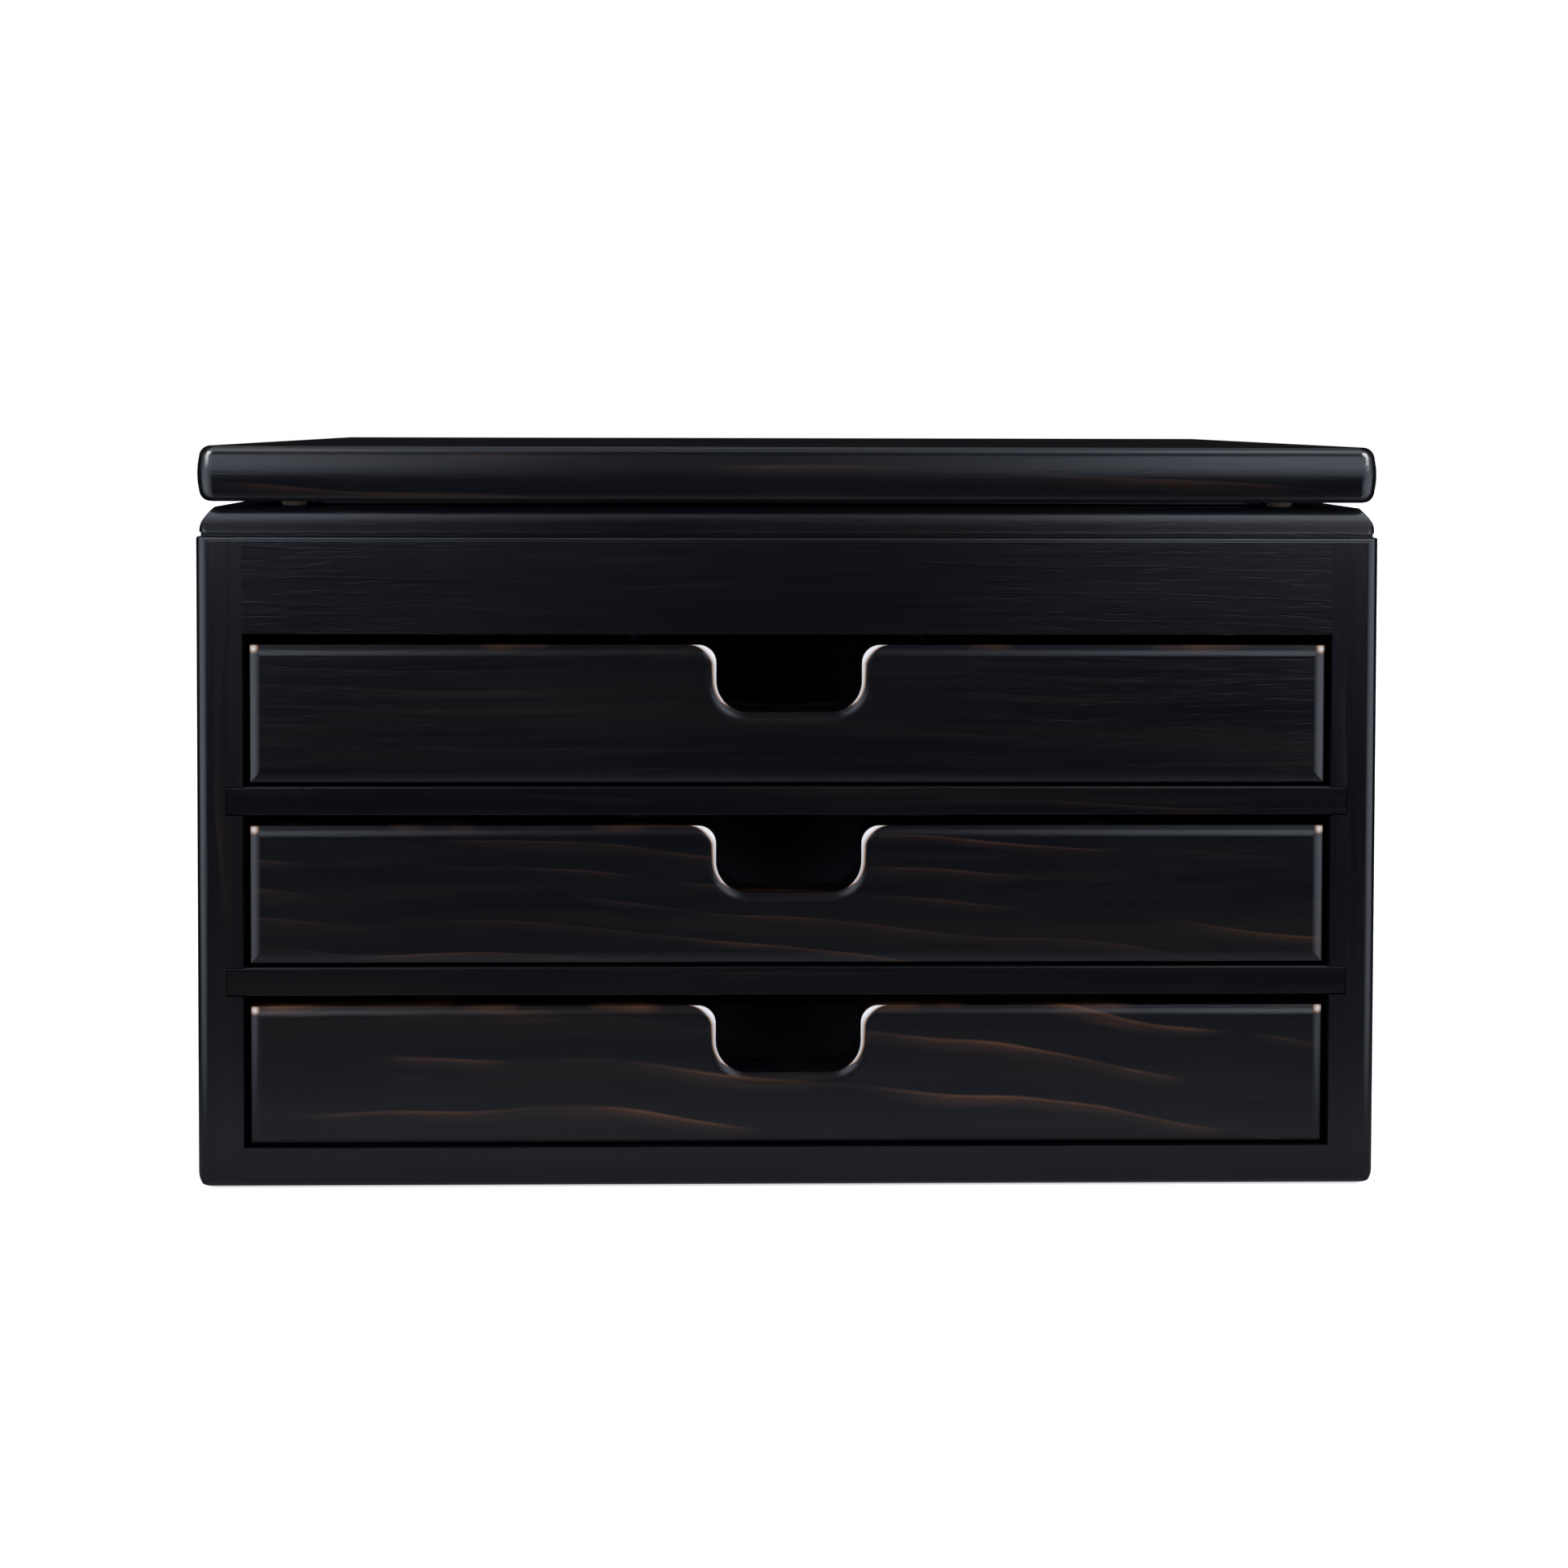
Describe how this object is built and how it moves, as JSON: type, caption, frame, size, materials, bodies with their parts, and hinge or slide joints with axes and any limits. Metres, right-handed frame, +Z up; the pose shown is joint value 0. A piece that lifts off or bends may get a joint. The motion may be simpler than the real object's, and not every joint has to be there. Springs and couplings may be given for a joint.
{
  "type": "jewelry chest",
  "caption": "Low rectangular dark wood jewelry chest with a hinged round-edged lid over a divided tray, and inset drawers with rounded finger notches.",
  "frame": {"origin": "centre of the base, on the surface the chest rests on", "axes": "+X across the width to the right as seen from the front, +Y towards the back, +Z up; the drawers face -Y"},
  "size_m": [0.28, 0.18, 0.1762],
  "materials": {
    "ebony_wood": "near-black stained wood with a satin clear coat and faint brown grain",
    "inner_wood": "dark brown stained wood, matte",
    "lining_velvet": "charcoal velvet over thin board",
    "ring_roll_velvet": "charcoal velvet over foam",
    "base_felt": "pressed black felt",
    "bumper_felt": "dark brown felt dot",
    "hinge_brass": "aged satin brass",
    "mirror_glass": "silvered flat glass"
  },
  "bodies": {
    "cabinet": {"left_side_panel": "ebony_wood", "right_side_panel": "ebony_wood", "bottom_board": "ebony_wood", "lower_shelf": "ebony_wood", "upper_shelf": "ebony_wood", "front_fascia": "ebony_wood", "back_top_rail": "ebony_wood", "back_panel": "inner_wood", "tray_floor": "inner_wood", "base_felt": "base_felt", "rim_front": "ebony_wood", "rim_back": "inner_wood", "rim_left": "ebony_wood", "rim_right": "ebony_wood", "tray_floor_lining": "lining_velvet", "tray_wall_lining": "lining_velvet", "ring_divider": "lining_velvet", "tray_long_divider": "lining_velvet", "tray_cross_divider": "lining_velvet", "ring_roll_1": "ring_roll_velvet", "ring_roll_2": "ring_roll_velvet", "ring_roll_3": "ring_roll_velvet", "ring_roll_4": "ring_roll_velvet", "ring_roll_5": "ring_roll_velvet", "hinge_leaf_cabinet_left": "hinge_brass", "hinge_leaf_cabinet_right": "hinge_brass", "hinge_pin_left": "hinge_brass", "hinge_pin_right": "hinge_brass", "hinge_screws_cabinet": "hinge_brass"},
    "lid": {"lid_board": "ebony_wood", "lid_mirror": "mirror_glass", "mirror_frame": "ebony_wood", "lid_bumpers": "bumper_felt", "hinge_leaf_lid_left": "hinge_brass", "hinge_leaf_lid_right": "hinge_brass", "hinge_screws_lid": "hinge_brass"},
    "drawer_top": {"drawer_top_front": "ebony_wood", "drawer_top_left_side": "inner_wood", "drawer_top_right_side": "inner_wood", "drawer_top_back": "inner_wood", "drawer_top_floor": "inner_wood", "drawer_top_lining": "lining_velvet", "drawer_top_long_divider": "lining_velvet", "drawer_top_cross_dividers": "lining_velvet"},
    "drawer_middle": {"drawer_middle_front": "ebony_wood", "drawer_middle_left_side": "inner_wood", "drawer_middle_right_side": "inner_wood", "drawer_middle_back": "inner_wood", "drawer_middle_floor": "inner_wood", "drawer_middle_lining": "lining_velvet", "drawer_middle_cross_dividers": "lining_velvet"},
    "drawer_bottom": {"drawer_bottom_front": "ebony_wood", "drawer_bottom_left_side": "inner_wood", "drawer_bottom_right_side": "inner_wood", "drawer_bottom_back": "inner_wood", "drawer_bottom_floor": "inner_wood", "drawer_bottom_lining": "lining_velvet", "drawer_bottom_long_divider": "lining_velvet"}
  },
  "joints": [
    {"name": "lid_hinge", "type": "hinge", "parent": "cabinet", "child": "lid", "pos_m": [0, 0.088, 0.16235], "axis": [-1, 0, 0], "range_deg": [0, 100]},
    {"name": "drawer_top_slide", "type": "slide", "parent": "cabinet", "child": "drawer_top", "axis": [0, -1, 0], "range_m": [0, 0.12]},
    {"name": "drawer_middle_slide", "type": "slide", "parent": "cabinet", "child": "drawer_middle", "axis": [0, -1, 0], "range_m": [0, 0.12]},
    {"name": "drawer_bottom_slide", "type": "slide", "parent": "cabinet", "child": "drawer_bottom", "axis": [0, -1, 0], "range_m": [0, 0.12]}
  ]
}
